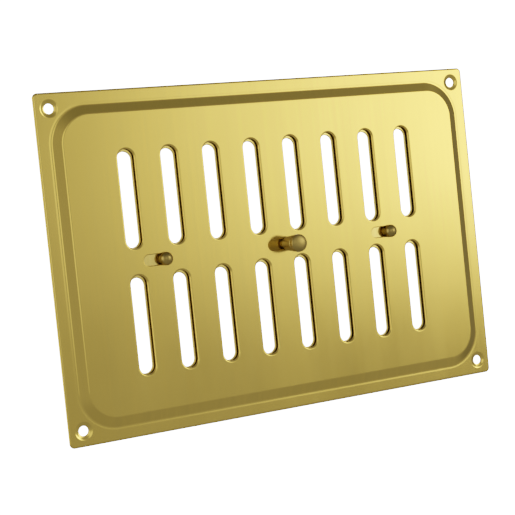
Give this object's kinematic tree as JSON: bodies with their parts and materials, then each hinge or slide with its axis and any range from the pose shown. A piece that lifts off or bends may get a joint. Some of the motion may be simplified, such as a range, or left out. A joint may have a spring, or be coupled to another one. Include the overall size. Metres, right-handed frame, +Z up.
{
  "type": "adjustable air vent",
  "caption": "Flat pressed brass air vent plate with upright slots and a sliding shutter behind that a central knob opens and closes.",
  "frame": {"origin": "centre of the plate, in the plane of the wall that the flange's back face rests on", "axes": "+X to the right as one faces the vent, +Z up, and the front of the vent faces -Y, away from the wall"},
  "size_m": [0.242, 0.0186, 0.165],
  "materials": {
    "polished_brass": "polished and lacquered, faint polishing streaks",
    "turned_brass": "turned, duller than the plate",
    "zinc_plated_steel": "bright zinc plate"
  },
  "bodies": {
    "face": {"face_plate": "polished_brass"},
    "shutter": {"shutter_plate": "polished_brass", "control_knob": "turned_brass", "knob_screw": "zinc_plated_steel", "knob_washer": "zinc_plated_steel", "guide_rivet_left": "turned_brass", "guide_rivet_right": "turned_brass", "friction_washer_left": "zinc_plated_steel", "friction_washer_right": "zinc_plated_steel", "rear_washer_left": "zinc_plated_steel", "rear_washer_right": "zinc_plated_steel"}
  },
  "joints": [
    {"name": "shutter_slide", "type": "slide", "parent": "face", "child": "shutter", "axis": [-1, 0, 0], "range_m": [0, 0.0084]}
  ]
}
